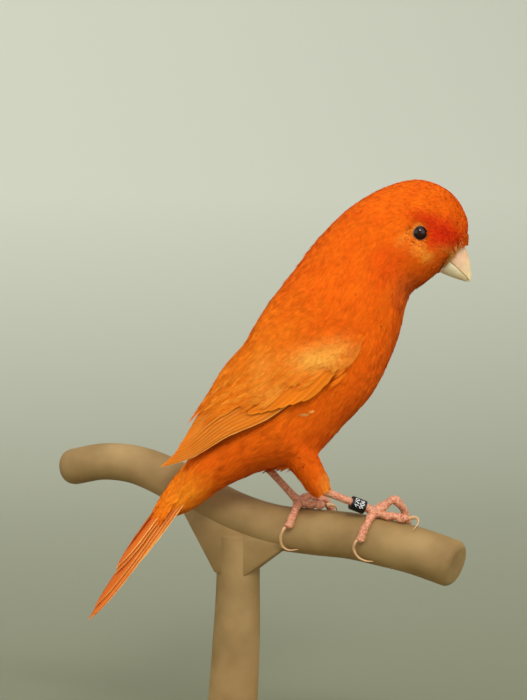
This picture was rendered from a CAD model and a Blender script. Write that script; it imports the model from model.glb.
"""A red canary gripping its T-shaped perch: plumage, bill, eyes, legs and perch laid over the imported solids.

Lengths inside the formulas are in millimetres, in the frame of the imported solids: the bird faces +X and its
left is +Y. They become metres when a mesh is made.
"""

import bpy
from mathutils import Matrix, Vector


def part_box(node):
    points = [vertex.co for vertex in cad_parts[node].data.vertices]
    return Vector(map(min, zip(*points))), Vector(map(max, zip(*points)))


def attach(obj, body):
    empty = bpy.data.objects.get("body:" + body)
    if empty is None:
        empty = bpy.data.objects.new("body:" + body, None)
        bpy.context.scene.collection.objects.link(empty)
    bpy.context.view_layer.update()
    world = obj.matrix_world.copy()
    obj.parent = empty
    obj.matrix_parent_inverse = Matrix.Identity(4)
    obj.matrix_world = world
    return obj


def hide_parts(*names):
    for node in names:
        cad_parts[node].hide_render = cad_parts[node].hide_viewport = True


bl_info = {
    "name": "Canary on a perch",
    "version": (1, 0, 0),
    "blender": (4, 5, 0),
    "location": "3D View > Sidebar > Canary",
    "description": "Feathers, bill, eyes, legs and printed perch of a life-size canary",
    "category": "Object",
}

import bpy
import numpy as np
from bpy.props import FloatProperty, FloatVectorProperty, IntProperty, PointerProperty, StringProperty
from mathutils import Vector

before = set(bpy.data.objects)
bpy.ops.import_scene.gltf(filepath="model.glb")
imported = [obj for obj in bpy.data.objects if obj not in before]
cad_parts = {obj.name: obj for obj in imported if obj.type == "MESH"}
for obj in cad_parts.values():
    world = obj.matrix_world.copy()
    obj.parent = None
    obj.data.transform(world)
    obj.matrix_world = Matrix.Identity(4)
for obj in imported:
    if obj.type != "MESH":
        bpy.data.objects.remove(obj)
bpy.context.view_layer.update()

MM = 0.001
LEFT = np.array([0, 1, 0])


# Shape of the bird, as in the solids

MIDLINE = -11.0
EYE_X, EYE_Z = 47.5, 144.4
ORBIT_DEPTH, ORBIT_SPREAD = 1.5, 3.6
EYE_AXIS = np.array([0.14, 1.0, -0.06]) / np.linalg.norm([0.14, 1.0, -0.06])

# Back x and z, belly x and z, half the width, and how much wider the belly side is than the back side.
BODY_ROWS = np.array([
    [-22.3, 67.9, -21.1, 66.7, 0.7, 0],
    [-18.0, 75.4, -12.1, 70.3, 4.2, 0],
    [-14.2, 82.8, -4.5, 75.7, 6.8, 0],
    [-8.4, 92.2, 6.3, 80.4, 10.2, 0],
    [-3.9, 103.8, 18.0, 82.8, 12.9, 0.04],
    [0.6, 113.0, 28.0, 92.3, 14.8, 0.06],
    [6.5, 123.4, 36.4, 101.7, 15.4, 0.06],
    [14.3, 133.8, 42.6, 114.9, 14.1, 0.04],
    [22.3, 144.0, 45.0, 124.3, 12.3, 0.02],
    [30.7, 151.9, 46.7, 128.4, 11.3, 0.04],
    [40.2, 157.2, 50.0, 130.8, 10.9, 0.1],
    [49.1, 159.0, 52.3, 132.6, 10.6, 0.12],
    [57.1, 155.8, 53.7, 133.8, 9.4, 0.12],
    [61.7, 149.0, 54.2, 134.3, 7.0, 0.08],
    [61.9, 142.3, 54.0, 134.3, 4.5, 0],
])
BILL_PLACE = len(BODY_ROWS) - 1
FACE_END = BILL_PLACE - 0.55

# The skin that carries the folded wing, from the nape to the wing tip.
WING_ROWS = np.array([
    [21.3, 145.0, 46.0, 123.4, 13.2, 0.02],
    [13.2, 134.8, 43.8, 114.0, 15.1, 0.04],
    [5.4, 124.3, 37.4, 100.9, 16.2, 0.06],
    [-0.5, 113.8, 29.0, 91.6, 15.8, 0.06],
    [-5.3, 105.0, 18.6, 82.2, 14.3, 0.04],
    [-10.2, 96.9, 6.5, 80.8, 11.6, 0],
    [-15.8, 88.6, -5.4, 79.6, 7.2, 0],
    [-21.4, 82.6, -18.6, 80.0, 3.4, 0],
])

TAIL_ROOT = np.array([-12.5, MIDLINE, 76.8])
TAIL_ALONG = np.array([-0.564, 0, -0.826])
TAIL_UP = np.array([-0.826, 0, 0.564])
TAIL_RIDGE = 4.4
TAIL_SLOPE = np.radians(50)
TAIL_LENGTHS = [30, 31.5, 42, 45.8, 44, 31.5]

# Along the axis, top edge, bottom edge, half the width.
BILL_UPPER = [
    [-2.4, 4.4, -2.0, 4.1], [0, 4.3, -1.9, 3.75], [2.2, 3.6, -1.7, 3.1],
    [4.6, 2.15, -1.45, 2.2], [6.8, 0.4, -1.3, 1.15], [8.1, -0.95, -1.5, 0.35],
]
BILL_LOWER = [
    [-2.4, -2.04, -5.4, 3.9], [0, -1.95, -5.5, 3.6], [2.2, -1.75, -4.75, 3.0],
    [4.6, -1.5, -3.65, 2.05], [6.4, -1.38, -2.7, 1.2], [7.5, -1.5, -2.05, 0.4],
]
BILL_FORWARD = 0.15

# The bar's centre line and radius: x, z, radius. Its y is BAR_YAW times x.
BAR_ROWS = np.array([
    [-48.8, 78.5, 5.0], [-45.0, 79.0, 5.1], [-37.0, 80.6, 5.15], [-28.5, 80.1, 5.35], [-20.0, 77.2, 5.7],
    [-10.0, 72.0, 5.95], [0.0, 67.2, 6.0], [10.0, 64.2, 6.1], [20.0, 63.2, 6.25], [30.0, 62.6, 6.3],
    [38.0, 61.2, 6.35], [47.0, 59.3, 6.4], [57.5, 55.9, 6.4],
])
BAR_YAW = -0.4
# Radius of the rounding at the rear and front end, and how much the front end slants.
BAR_ENDS = (3.6, 2.0)
BAR_END_SLANT = 0.2

POST_CENTRES = [[-1.4, 6.3], [-1.1, 16], [-0.2, 32], [0.3, 48], [0.3, 62]]
POST_RADII = [7.0, 6.85, 6.55, 6.05, 6.0]
WEB_OUTLINE = [[-15.2, 69.5], [-5.0, 51.5], [3.0, 50.1], [16.0, 59.9], [16.0, 63.0], [-4.0, 69.5]]
WEB_THICKNESS, WEB_EDGE = 10.0, 0.4
BASE_RADIUS, BASE_HEIGHT, BASE_EDGE, BASE_BEVEL = 38.0, 6.0, 1.6, 0.4

# Toes: their way, their radii and their claw's way. A way holds x from the foot's middle, degrees round the bar
# from its top, and height above it.
LEGS = {
    "right": {
        "knee": [13.6, MIDLINE - 5.5, 89.0], "heel": [21.6, MIDLINE - 6.4, 75.7], "foot": [35, -12, 1.6],
        "thigh": [5.8, 4.5, 3.7, 3.3],
        "toes": [
            ([[0, -12, 1.6], [0.1, -36, 1.2], [-0.3, -62, 1.15], [-0.7, -90, 1.3]], [1.25, 1.0, 1.0, 1.2],
             [[-1.3, -86, 1.5], [-1.6, -92, 1.75], [-1.9, -105, 1.3], [-0.8, -124, 1.0], [1.1, -132, 0.9],
              [3.2, -130, 0.7]]),
            ([[0, -8, 1.6], [1.2, 14, 1.8], [2.2, 42, 1.4], [3.2, 72, 1.25]], [1.2, 0.95, 0.9, 0.95],
             [[3.3, 75, 1.3], [3.5, 82, 1.4], [3.7, 97, 1.35], [3.5, 112, 1.1], [3.0, 124, 0.7]]),
            ([[0, -10, 1.6], [2.5, 2, 4.0], [4.4, 5, 5.6], [5.9, 14, 4.4], [7.2, 30, 2.8], [8.0, 54, 1.4]],
             [1.2, 1.0, 1.1, 1.0, 0.95, 0.95],
             [[8.1, 57, 1.4], [8.4, 64, 1.45], [8.8, 80, 1.4], [8.8, 97, 1.1], [8.4, 110, 0.7]]),
            ([[0, -12, 1.6], [2.0, -8, 1.3], [5.4, -5, 1.3], [9.0, -6, 1.7]], [1.2, 1.0, 1.1, 1.0],
             [[9.0, -6, 1.8], [9.8, -8, 2.4], [10.9, -12, 2.7], [11.5, -22, 2.2], [11.0, -37, 1.15]]),
        ],
    },
    "left": {
        "knee": [3.6, MIDLINE + 7.6, 88.6], "heel": [6.4, MIDLINE + 5.2, 82.4], "foot": [16.2, -8, 1.6],
        "thigh": [5.8, 5.4, 4.4, 2.6],
        "toes": [
            ([[0, -8, 1.6], [0.3, -30, 1.2], [0, -56, 1.15], [-0.6, -80, 1.3]], [1.25, 1.0, 1.0, 1.2],
             [[-1.2, -78, 1.5], [-1.6, -84, 1.7], [-2.2, -100, 1.4], [-1.9, -121, 1.1], [-0.4, -132, 1.0],
              [2.1, -128, 0.75]]),
            ([[0, -6, 1.6], [2.0, -5, 1.3], [4.4, -5, 1.4], [7.2, -4, 1.4]], [1.2, 1.0, 1.05, 0.95],
             [[7.5, -2, 1.45], [8.0, 2, 1.5], [8.9, 12, 1.4], [9.2, 26, 1.1], [9.1, 38, 0.7]]),
            ([[0, -4, 1.8], [1.6, 6, 3.1], [3.5, 12, 3.3], [5.6, 18, 3.0], [7.0, 32, 1.9], [7.6, 52, 1.3]],
             [1.1, 1.0, 1.0, 1.0, 0.95, 0.95],
             [[7.7, 56, 1.35], [7.9, 62, 1.4], [8.2, 78, 1.35], [8.0, 94, 1.1], [7.5, 107, 0.7]]),
            ([[0, -6, 1.6], [0.9, 18, 1.7], [1.7, 44, 1.4], [2.4, 70, 1.25]], [1.2, 0.95, 0.9, 0.95],
             [[2.4, 73, 1.3], [2.5, 80, 1.35], [2.7, 95, 1.35], [2.4, 110, 1.1], [1.9, 122, 0.7]]),
        ],
    },
}
SHANK_RADII = [1.3, 1.1, 1.0, 1.0, 1.05, 1.25]
BAND = {"inner": 1.5, "outer": 1.88, "length": 4.1, "along": 0.71, "drop": 0.15, "edge": 0.1, "ink": 0.02}

EYE_RADIUS = 2.3
LID_RADIUS, LID_RISE, LID_BEAD = 1.92, 1.28, 0.15
EYE_CLEARING = 2.25
CLAW_RADIUS = 0.56


# Settings


def colour(red, green, blue):
    """The linear colour of three screen values from 0 to 255."""
    share = np.array([red, green, blue]) / 255
    return tuple(np.where(share <= 0.04045, share / 12.92, ((share + 0.055) / 1.055) ** 2.4))


def colour_property(name, description, *screen):
    """A colour setting whose default is given as screen values."""
    return FloatVectorProperty(
        name=name, description=description, default=colour(*screen), subtype="COLOR", size=3, min=0, max=1
    )


def length_property(name, description, millimetres):
    """A length setting whose default is given in millimetres."""
    return FloatProperty(
        name=name, description=description, default=millimetres * MM, subtype="DISTANCE", unit="LENGTH", min=0
    )


def power_property(name, description, watts):
    """A setting for the power of a light."""
    return FloatProperty(name=name, description=description, default=watts, unit="POWER", min=0)


class CanaryPlumage(bpy.types.PropertyGroup):
    """Colours and sizes of the plumage"""

    ground: colour_property("Ground", "Colour of most of the plumage", 232, 98, 7)
    crown: colour_property("Crown", "Colour of the crown and nape", 232, 100, 8)
    mask: colour_property("Mask", "Deep patch between eye and bill", 214, 44, 6)
    lore: colour_property("Lore", "Yellowish feathers below the eye and round the bill", 246, 152, 48)
    cheek: colour_property("Cheek", "Colour of the ear coverts", 226, 70, 8)
    throat: colour_property("Throat", "Duller feathers of the throat", 196, 84, 26)
    belly: colour_property("Belly", "Colour of the belly and flanks", 238, 100, 10)
    rump: colour_property("Rump", "Colour of the rump and tail coverts", 250, 140, 26)
    mantle: colour_property("Mantle", "Paler feather edges of the mantle", 246, 142, 28)
    shoulder: colour_property("Shoulder", "Pale patch at the wing's shoulder", 250, 174, 70)
    web: colour_property("Web", "Colour of a flight feather's web", 228, 118, 20)
    rim: colour_property("Rim", "Pale rim of a flight feather", 250, 190, 98)
    covert: colour_property("Covert", "Colour of the wing coverts", 230, 118, 18)
    covert_rim: colour_property("Covert rim", "Paler rim of the wing coverts", 242, 150, 42)
    tail_web: colour_property("Tail web", "Colour of a tail feather's web", 214, 104, 36)
    coat_depth: length_property("Coat depth", "How far the skin lies under the tips of the small feathers", 0.6)
    body_tufts: IntProperty(
        name="Small feathers", description="Number of small feathers on head and body", default=30000, min=100
    )


class CanaryBareParts(bpy.types.PropertyGroup):
    """Colours of bill, eyes, legs and band"""

    bill_root: colour_property("Bill root", "Horn near the face", 226, 180, 138)
    bill_tip: colour_property("Bill tip", "Horn at the tip", 234, 206, 158)
    bill_under: colour_property("Lower bill", "Horn of the lower half", 252, 238, 200)
    eye: colour_property("Eye", "Iris and pupil, nearly black", 32, 8, 4)
    lid: colour_property("Lid", "Bare rim of the lids", 176, 108, 62)
    leg: colour_property("Leg", "Skin of legs and toes", 208, 130, 96)
    scale: colour_property("Scale", "Edges of the horny scales", 228, 170, 134)
    claw: colour_property("Claw", "Horn of the claws", 200, 158, 114)
    band: colour_property("Band", "Anodised leg band", 14, 14, 15)
    figures: colour_property("Figures", "Figures on the band", 225, 225, 222)


class CanaryPerch(bpy.types.PropertyGroup):
    """Finish of the printed perch"""

    plastic: colour_property("Plastic", "Beige printed plastic", 168, 136, 86)
    soiled: colour_property("Soiled", "Darker, handled places", 138, 108, 62)
    layer: length_property("Layer", "Height of one printed layer", 0.2)


class CanaryStage(bpy.types.PropertyGroup):
    """Backdrop and light"""

    upper: colour_property("Upper backdrop", "Backdrop above", 202, 203, 189)
    lower: colour_property("Lower backdrop", "Backdrop and floor below", 115, 116, 91)
    key: power_property("Key light", "Power of the large light above", 2.65)
    fill: power_property("Fill light", "Power of the light from the left", 5.7)


# Curves and skins


def unit(vectors):
    """The vectors at length 1."""
    return vectors / np.maximum(np.linalg.norm(vectors, axis=-1, keepdims=True), 1e-12)


def mix(a, b, t):
    """From a at 0 to b at 1: a + (b - a) t."""
    return a + (b - a) * t


def ease(low, high, value):
    """Runs smoothly from 0 at low to 1 at high: 3 t squared less 2 t cubed."""
    t = np.clip((value - low) / (high - low), 0, 1)
    return t * t * (3 - 2 * t)


def along(rows, place):
    """Rows of numbers read at fractional indices on a uniform Catmull-Rom curve through them:
    b + t/2 (c - a + t (2a - 5b + 4c - d + t (3b - 3c + d - a))) for the four rows a, b, c, d around it."""
    rows = np.asarray(rows, float)
    last = len(rows) - 1
    rows = np.vstack([2 * rows[0] - rows[1], rows, 2 * rows[-1] - rows[-2]])
    place = np.asarray(place, float)
    i = np.clip(np.floor(place), 0, last - 1).astype(int)
    t = (place - i)[..., None]
    a, b, c, d = (rows[i + n] for n in range(4))
    return b + t / 2 * (c - a + t * (2 * a - 5 * b + 4 * c - d + t * (3 * (b - c) + d - a)))


def read(values, place):
    """Single numbers read on the same curve."""
    return along(np.array(values)[:, None], place)[..., 0]


def full_turn(count):
    """Even angles of one full turn."""
    return np.linspace(0, 2 * np.pi, count, endpoint=False)


def section(rows, place, angle):
    """A point of a sectioned skin: an ellipse from the back (angle 0) over the left side to the belly, widened
    towards the belly by the egg number, and pressed in round each eye by depth * exp(-distance squared)."""
    row = along(rows, place)
    back, belly, half, egg = row[..., 0:2], row[..., 2:4], row[..., 4], row[..., 5]
    xz = (back + belly) / 2 + (back - belly) / 2 * np.cos(angle)[..., None]
    away = ((xz[..., 0] - EYE_X) ** 2 + (xz[..., 1] - EYE_Z) ** 2) / ORBIT_SPREAD**2
    side = half * np.sin(angle) * (1 - egg * np.cos(angle))
    side = side - np.sign(side) * np.minimum(ORBIT_DEPTH * np.exp(-away), np.abs(side))
    return np.stack([xz[..., 0], side + MIDLINE, xz[..., 1]], -1)


def slopes(sheet, u, v, step=1e-3):
    """The change of a sheet's point for a unit of each of its two parameters."""
    return (
        (sheet(u + step, v) - sheet(u - step, v)) / (2 * step),
        (sheet(u, v + step) - sheet(u, v - step)) / (2 * step),
    )


def raised(sheet, u, v, height, facing=1):
    """The sheet's point moved by a height along its outward normal, the unit cross product of its slopes."""
    u, v, height = np.broadcast_arrays(u, v, height)
    du, dv = slopes(sheet, u, v)
    return sheet(u, v) + unit(np.cross(du, dv)) * (facing * height)[..., None]


def body_skin(place, angle, height):
    """The body, from the tail coverts at 0 to the bill at 14, at a height above the solids."""
    return raised(lambda u, v: hips(section(BODY_ROWS, u, v)), place, angle, height)


def thigh_ends(leg):
    """The knee and the heel."""
    return np.array(leg["knee"]), np.array(leg["heel"])


def hips(points):
    """The body's sides drawn out over the thighs. A thigh's reach from the midline is its middle + radius -
    distance squared over radius, and the side becomes the soft maximum
    (a + b + sqrt((a - b) squared + 4)) / 2 of itself and that reach."""
    sign = np.where(points[..., 1] < MIDLINE, -1, 1)
    side = np.abs(points[..., 1] - MIDLINE)
    for leg in LEGS.values():
        knee, heel = thigh_ends(leg)
        way_down = (heel - knee)[[0, 2]]
        long = np.linalg.norm(way_down)
        x, z = points[..., 0] - knee[0], points[..., 2] - knee[2]
        t = (x * way_down[0] + z * way_down[1]) / long**2
        away = np.hypot((x * way_down[1] - z * way_down[0]) / long, np.maximum(-0.1 - t, 0) * long)
        radius = read(leg["thigh"], np.clip(t, 0, 1) * 3)
        reach = abs(knee[1] - MIDLINE) + radius - away**2 / radius
        soft = (side + reach + np.sqrt((side - reach) ** 2 + 4)) / 2
        same = sign * (knee[1] - MIDLINE) > 0
        side = np.where(same, mix(side, soft, ease(0.3, 3.5, side)), side)
    return np.stack([points[..., 0], MIDLINE + sign * side, points[..., 2]], -1)


def bill_frame():
    """The bill's axis, its upward direction and its root, from the last section of the body."""
    back_x, back_z, belly_x, belly_z = BODY_ROWS[-1][:4]
    axis = unit(np.array([back_z - belly_z, 0, belly_x - back_x]))
    root = np.array([(back_x + belly_x) / 2, MIDLINE, (back_z + belly_z) / 2])
    return axis, np.array([-axis[2], 0, axis[0]]), root


def mirrored(points):
    """The same points on the bird's other side."""
    return points * [1, -1, 1] + [0, 2 * MIDLINE, 0]


def wing_skin(place, degrees, height):
    """The skin under the folded left wing, from the nape at 0 to the wing tip at 7."""
    return raised(lambda u, v: section(WING_ROWS, u, np.radians(v)), place, degrees, height, facing=-1)


def tail_skin(out, down, height):
    """The folded tail, a steep roof: a distance from the root, a distance down the left slope from the ridge,
    and a height. The ridge is rounded by sqrt(down squared + 0.36) - 0.6."""
    out, down, height = np.broadcast_arrays(out, down, height)
    eased = np.sqrt(down**2 + 0.36) - 0.6
    lean = down / np.hypot(down, 0.6) * TAIL_SLOPE
    rise = TAIL_RIDGE - eased * np.sin(TAIL_SLOPE) + height * np.cos(lean)
    across = down * np.cos(TAIL_SLOPE) + height * np.sin(lean)
    return TAIL_ROOT + out[..., None] * TAIL_ALONG + rise[..., None] * TAIL_UP + across[..., None] * LEFT


# Meshes


def flat(rows):
    """All points of an array in one row of points."""
    return rows.reshape(-1, rows.shape[-1])


def flipped(faces, turned):
    """Each shell's faces, with the order of their corners reversed where turned is true."""
    return np.where(np.asarray(turned)[:, None, None], faces[..., ::-1], faces)


def grid_quads(rows, columns, wrap_rows=True, wrap_columns=True):
    """Quads between neighbours of a grid of points, which closes on itself where it wraps."""
    i, k = np.meshgrid(np.arange(rows - (not wrap_rows)), np.arange(columns - (not wrap_columns)), indexing="ij")
    at = lambda a, b: (a % rows) * columns + b % columns
    return np.stack([at(i, k), at(i, k + 1), at(i + 1, k + 1), at(i + 1, k)], -1).reshape(-1, 4)


def faces_outward(corners, middle):
    """Whether quads face away from a middle on the whole: the sum of their way from it times their area."""
    area = np.cross(corners[..., 2, :] - corners[..., 0, :], corners[..., 3, :] - corners[..., 1, :])
    return ((corners.mean(-2) - middle) * area).sum((-2, -1)) > 0


def lofts(rings):
    """Closed shells from stacks of rings, an array of shape (shells, stations, ring points, 3): quads join each
    ring to the next, a fan closes each end, and a shell whose signed volume is negative has its faces turned."""
    shells, stations, ring, _ = rings.shape
    hubs = rings[:, [0, -1]].mean(2)
    points = np.concatenate([rings.reshape(shells, -1, 3), hubs], 1)
    quads = grid_quads(stations, ring, wrap_rows=False)
    k, end = np.arange(ring), (stations - 1) * ring
    hub = np.full(ring, stations * ring)
    fans = np.vstack([
        np.stack([hub, (k + 1) % ring, k], -1),
        np.stack([hub + 1, end + k, end + (k + 1) % ring], -1),
    ])
    turned = ~faces_outward(points[:, quads], points.mean(1)[:, None])
    offset = (np.arange(shells) * points.shape[1])[:, None, None]
    made = [flipped(np.broadcast_to(f, (shells, *f.shape)), turned) + offset for f in (quads, fans)]
    return flat(points), [flat(f) for f in made]


def loft(rings):
    """One closed shell from a stack of rings."""
    return lofts(np.asarray(rings)[None])


def closed_ring(points):
    """A shell that closes both ways round, from an array of shape (sections, section points, 3)."""
    quads = np.roll(grid_quads(*points.shape[:2]), -1, axis=1)
    corners = flat(points)[quads]
    return flat(points), [quads if faces_outward(corners, corners.mean((0, 1))) else quads[:, ::-1]]


def merged(*parts):
    """Several (points, faces) pairs as one."""
    points, faces, start = [], [], 0
    for part_points, part_faces in parts:
        points.append(part_points)
        faces += [f + start for f in part_faces]
        start += len(part_points)
    return np.vstack(points), faces


def add_piece(name, shape, material, slot=None, replaces=(), tint=None, maps=None, normals=None):
    """Makes a mesh object from points in millimetres and face arrays, with a colour, a shading normal and UV
    places given point by point, and hangs it on the model's body."""
    points, faces = shape
    loops = np.concatenate([f.ravel() for f in faces]).astype(np.int32)
    sizes = np.concatenate([np.full(len(f), f.shape[1]) for f in faces])
    mesh = bpy.data.meshes.new(name)
    mesh.vertices.add(len(points))
    mesh.vertices.foreach_set("co", np.ascontiguousarray(points * MM, np.float32).ravel())
    mesh.loops.add(len(loops))
    mesh.loops.foreach_set("vertex_index", loops)
    mesh.polygons.add(len(sizes))
    mesh.polygons.foreach_set("loop_start", (np.cumsum(sizes) - sizes).astype(np.int32))
    mesh.update(calc_edges=True)
    for map_name, places in (maps or {}).items():
        layer = mesh.uv_layers.new(name=map_name)
        layer.uv.foreach_set("vector", places[loops].astype(np.float32).ravel())
    if tint is not None:
        attribute = mesh.color_attributes.new(name="tint", type="FLOAT_COLOR", domain="POINT")
        rgba = np.concatenate([tint, np.ones((len(tint), 1))], 1)
        attribute.data.foreach_set("color", rgba.astype(np.float32).ravel())
    mesh.shade_smooth()
    if normals is not None:
        mesh.normals_split_custom_set_from_vertices(normals)
    mesh.materials.append(material)
    piece = bpy.data.objects.new(name, mesh)
    bpy.context.scene.collection.objects.link(piece)
    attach(piece, "root")
    if replaces:
        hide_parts(*replaces)
    return piece


# Colour of the plumage


def areas():
    """Coloured areas of the plumage: x, z, reach along x and z, turn in degrees, colour, strength."""
    p = bpy.context.scene.canary_plumage
    return [
        (2, 88, 16, 9, 0, p.belly, 0.7),
        (18, 92, 15, 8, 20, p.belly, 0.9),
        (36, 110, 9, 12, 0, p.belly, 0.4),
        (-12, 78, 9, 8, 0, p.rump, 0.9),
        (5, 115, 14, 16, -30, p.mantle, 0.5),
        (23.0, 79.5, 3.2, 5.0, 0, p.lore, 0.75),
        (46, 156, 16, 7, -10, p.crown, 0.7),
        (42, 138.5, 6, 5, 0, p.cheek, 0.5),
        (47, 131.5, 5, 3.5, 0, p.throat, 0.7),
        (44.4, 143.6, 1.4, 2.4, 0, p.lore, 0.45),
        (48.6, 140.9, 2.6, 1.4, -20, p.lore, 0.6),
        (51.6, 139.4, 2.3, 1.6, -40, p.lore, 0.9),
        (56.6, 139.0, 3.2, 1.1, -45, p.lore, 0.8),
        (55.4, 143.2, 5.8, 3.6, -38, p.mask, 1.0),
        (50.8, 147.8, 4.4, 2.1, -30, p.mask, 0.75),
    ]


def plumage_colour(points):
    """The ground colour, with each area laid over it by strength * exp(-(distance over reach) squared), and soft
    waves of light and dark along the feathers' lie, the product of two sines whose phases bend each other."""
    tint = np.broadcast_to(np.array(bpy.context.scene.canary_plumage.ground), points.shape).copy()
    for x, z, reach_x, reach_z, turn, shade, strength in areas():
        c, s = np.cos(np.radians(turn)), np.sin(np.radians(turn))
        dx, dz = points[..., 0] - x, points[..., 2] - z
        a, b = (dx * c + dz * s) / reach_x, (dz * c - dx * s) / reach_z
        cover = strength * np.exp(-((a * a + b * b) ** 1.3))
        tint = mix(tint, np.array(shade), cover[..., None])
    lie, aside = lie_places(points)
    waves = np.sin(1.05 * aside + 1.7 * np.sin(0.33 * lie)) * np.sin(0.3 * lie + 1.4 * np.sin(0.45 * aside))
    return tint * (1 + waves[..., None] * np.array([0.03, 0.1, 0.1]))


def paler(setting, share):
    """The plumage's colour, by a share nearer to one of its settings."""
    target = np.array(getattr(bpy.context.scene.canary_plumage, setting))
    return lambda points: mix(plumage_colour(points), target, share)


def lie_places(points):
    """How far along the lie of the feathers and how far across it each point is, seen from the side."""
    x, z = points[..., 0], points[..., 2]
    return 0.83 * x + 0.56 * z, 0.83 * z - 0.56 * x


# Small feathers


# Steps of an even lattice: one over the plastic number, and one over its square.
LATTICE_STEPS = (0.7548776662, 0.5698402910)
# How far the UV map's places advance for one unit of the body's two parameters.
BODY_UNWRAP = (1 / 16, 1 / (2 * np.pi))


def even(u, v):
    """The same room for every feather."""
    return np.ones(np.shape(u))


def scatter(sheet, low, high, wanted, area=even):
    """Even places on a sheet. A lattice fills the two parameters, and chance thins it, so that what is left is
    dense where the sheet's own area over the area per feather is large."""

    def lattice(count):
        """Places low + (high - low) times the broken part of a half + n steps, and the share that stays of each."""
        n = np.arange(count)
        u, v = (mix(low[k], high[k], (0.5 + n * step) % 1) for k, step in enumerate(LATTICE_STEPS))
        du, dv = slopes(lambda p, q: sheet(p, q, 0), u, v)
        return u, v, np.linalg.norm(np.cross(du, dv), axis=-1) / area(u, v)

    share = lattice(4000)[2]
    most = share.max()
    u, v, share = lattice(int(wanted / (share / most).mean()))
    keep = np.random.default_rng(wanted).uniform(size=len(u)) < share / most
    return u[keep], v[keep]


def tuft_pattern(fingers, rows):
    """One small feather: rows of points that widen from the root as a sine, then one pointed tuft of barbs for
    each finger. Gives each point's share along and across, how far it is a tip, its barb, and the triangles."""
    closed, neck = 0.52, 0.77
    levels = np.linspace(0, closed, rows)
    columns = np.linspace(-1, 1, fingers + 1)
    t, x = (g.ravel() for g in np.meshgrid(levels, columns, indexing="ij"))
    x = x * mix(0.45, 1.0, np.sin(np.pi / 2 * t / closed))
    a, b, d, c = grid_quads(rows, fingers + 1, wrap_rows=False, wrap_columns=False).T
    k = np.arange(fingers)
    left = (rows - 1) * (fingers + 1) + k
    middle = (columns[:-1] + columns[1:]) / 2
    first = len(t)
    reach = 1 - 0.2 * middle**2
    t = np.concatenate([t, np.full(2 * fingers, neck), reach])
    half = 0.62 / fingers
    x = np.concatenate([x, middle * 0.98 - half, middle * 0.98 + half, middle * 0.86])
    low, high, tip = first + k, first + fingers + k, first + 2 * fingers + k
    triangles = np.vstack([
        np.stack([a, b, c], -1),
        np.stack([b, d, c], -1),
        np.stack([left, left + 1, low], -1),
        np.stack([left + 1, high, low], -1),
        np.stack([low, high, tip], -1),
    ])
    tips = np.zeros(len(t))
    tips[first:] = 0.5
    tips[first + 2 * fingers:] = 1
    barb = np.concatenate([np.tile(np.minimum(np.arange(fingers + 1), fingers - 1), rows), np.tile(k, 3)])
    return t, x, tips, barb, triangles


def tufts(skin, u, v, *, lie, length, width, rise, turn=0.0, fingers=5, rows=3, seed=0, unwrap=BODY_UNWRAP,
          shade=plumage_colour, streak=0.06, loose=0.09):
    """Small feathers laid on a skin. A feather's point is the skin read at its root's place plus the share along
    times its length and the share across times its width, both turned by its lie and divided by the slopes
    there, at a height that rises from root to tip and falls off to both sides. Tips are scattered a little, and
    each barb has its own tone, by streak. Loose is the spread of the lie, and a few tips stand out by it. The
    shading follows the skin, so the coat looks as soft as down."""
    rng = np.random.default_rng(seed)
    n = len(u)
    t, x, tips, barb, triangles = tuft_pattern(fingers, rows)
    du, dv = slopes(lambda p, q: skin(p, q, 0), u, v)
    root = skin(u, v, np.zeros(n))
    stride = np.linalg.norm(skin(u + lie * 0.6, v, np.zeros(n)) - root, axis=-1) / 0.6
    per_u = np.maximum(np.linalg.norm(du, axis=-1), stride)[:, None]
    per_v = np.linalg.norm(dv, axis=-1)[:, None]
    length, width, turn = (np.broadcast_to(a, n)[:, None] for a in (length, width, turn))
    length = length * rng.uniform(0.85, 1.15, (n, 1))
    turn = turn + rng.normal(0, loose, (n, 1))
    ahead = length * (t + tips * rng.normal(0, 0.05, (n, len(t))))
    aside = width / 2 * (x + tips * rng.normal(0, 0.12, (n, len(t))))
    c, s = np.cos(turn), np.sin(turn)
    low, high = (np.broadcast_to(r, n)[:, None] for r in rise)
    height = mix(low, high, t**0.75) - 0.1 * width * x**2 + rng.normal(0, 0.03, (n, 1))
    height = height + tips * rng.normal(0.03, 0.07, (n, len(t)))
    height = height + 3.5 * loose * tips * (rng.uniform(size=(n, 1)) < 0.02)
    u_at = u[:, None] + lie * (ahead * c - aside * s) / per_u
    v_at = v[:, None] + (ahead * s + aside * c) / per_v
    points = skin(u_at, v_at, height)
    out = unit(skin(u_at, v_at, height + 1) - points)
    leaning = unit(out + rng.normal(0, 0.1, (n, 1, 3)))
    corner = points[:, triangles[0]]
    facing = (np.cross(corner[:, 1] - corner[:, 0], corner[:, 2] - corner[:, 0]) * out[:, 0]).sum(-1)
    faces = flipped(np.broadcast_to(triangles, (n, *triangles.shape)), facing < 0)
    faces = faces + (np.arange(n) * len(t))[:, None, None]
    tint = shade(root)[:, None] * rng.normal(1, 0.04, (n, 1, 1))
    tint = tint * mix(0.9, 1.05, t)[:, None] * (1 + streak * rng.normal(size=(n, fingers))[:, barb])[..., None]
    patch = 0.003 * np.stack([x / 2, t], -1)
    bake = np.stack([u * unwrap[0] % 1, v * unwrap[1] % 1], -1)[:, None] * 0.98 + 0.01 + patch
    vane = np.broadcast_to(np.stack([x / 2 + 0.5, t], -1), (n, len(t), 2))
    return coat_of((flat(points), [flat(faces)]), flat(tint), flat(leaning), flat(bake), flat(vane))


def coat_of(shape, tint, normals, bake, vane):
    """What add_piece needs for feathers: shape, colour, normals and the two UV maps."""
    return {"shape": shape, "tint": np.clip(tint, 0, 1), "normals": normals, "maps": {"OFBake": bake, "Vane": vane}}


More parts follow.
